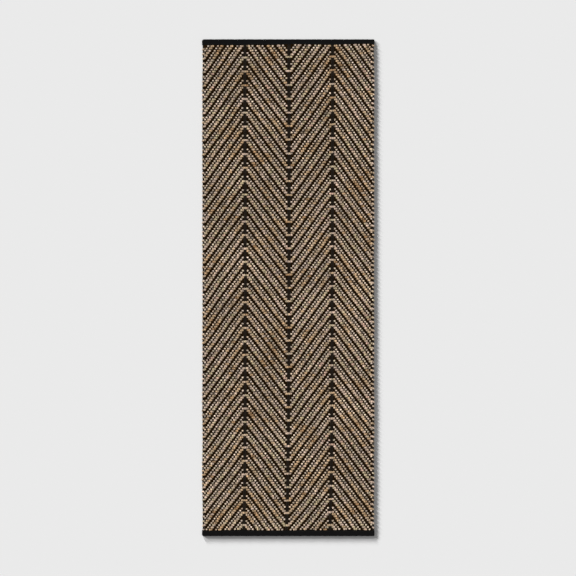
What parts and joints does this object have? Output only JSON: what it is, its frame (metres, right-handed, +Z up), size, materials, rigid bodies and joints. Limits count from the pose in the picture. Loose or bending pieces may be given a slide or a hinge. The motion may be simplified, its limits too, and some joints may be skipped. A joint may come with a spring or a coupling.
{
  "type": "runner rug",
  "caption": "Long narrow flatwoven floor rug in a black and natural herringbone, with a black cotton tape sewn over each short end.",
  "frame": {"origin": "centre of the rug's footprint, on the floor under it", "axes": "X across the rug, Y along it with the head end at +Y, Z up out of the face"},
  "size_m": [0.741, 2.134, 0.009],
  "materials": {
    "jute_weft": "matte twisted jute, natural straw and tan with greyer strands",
    "black_cotton_warp": "matte black twisted cotton with a soft fuzz",
    "black_cotton_tape": "matte black twill tape",
    "black_sewing_thread": "black sewing thread with a faint sheen"
  },
  "bodies": {
    "root": {"jute_weft_01": "jute_weft", "jute_weft_02": "jute_weft", "jute_weft_03": "jute_weft", "jute_weft_04": "jute_weft", "jute_weft_05": "jute_weft", "jute_weft_06": "jute_weft", "jute_weft_07": "jute_weft", "jute_weft_08": "jute_weft", "jute_weft_09": "jute_weft", "jute_weft_10": "jute_weft", "jute_weft_11": "jute_weft", "jute_weft_12": "jute_weft", "jute_weft_13": "jute_weft", "jute_weft_14": "jute_weft", "jute_weft_15": "jute_weft", "jute_weft_16": "jute_weft", "jute_weft_17": "jute_weft", "jute_weft_18": "jute_weft", "cotton_warp_01": "black_cotton_warp", "cotton_warp_02": "black_cotton_warp", "cotton_warp_03": "black_cotton_warp", "cotton_warp_04": "black_cotton_warp", "cotton_warp_05": "black_cotton_warp", "cotton_warp_06": "black_cotton_warp", "cotton_warp_07": "black_cotton_warp", "cotton_warp_08": "black_cotton_warp", "cotton_warp_09": "black_cotton_warp", "cotton_warp_10": "black_cotton_warp", "cotton_warp_11": "black_cotton_warp", "cotton_warp_12": "black_cotton_warp", "cotton_warp_13": "black_cotton_warp", "cotton_warp_14": "black_cotton_warp", "cotton_warp_15": "black_cotton_warp", "cotton_warp_16": "black_cotton_warp", "cotton_warp_17": "black_cotton_warp", "cotton_warp_18": "black_cotton_warp", "cotton_warp_19": "black_cotton_warp", "cotton_warp_20": "black_cotton_warp", "cotton_warp_21": "black_cotton_warp", "cotton_warp_22": "black_cotton_warp", "cotton_warp_23": "black_cotton_warp", "cotton_warp_24": "black_cotton_warp", "cotton_warp_25": "black_cotton_warp", "cotton_warp_26": "black_cotton_warp", "head_binding": "black_cotton_tape", "foot_binding": "black_cotton_tape", "head_needle_thread": "black_sewing_thread", "head_bobbin_thread": "black_sewing_thread", "foot_needle_thread": "black_sewing_thread", "foot_bobbin_thread": "black_sewing_thread"}
  },
  "joints": []
}
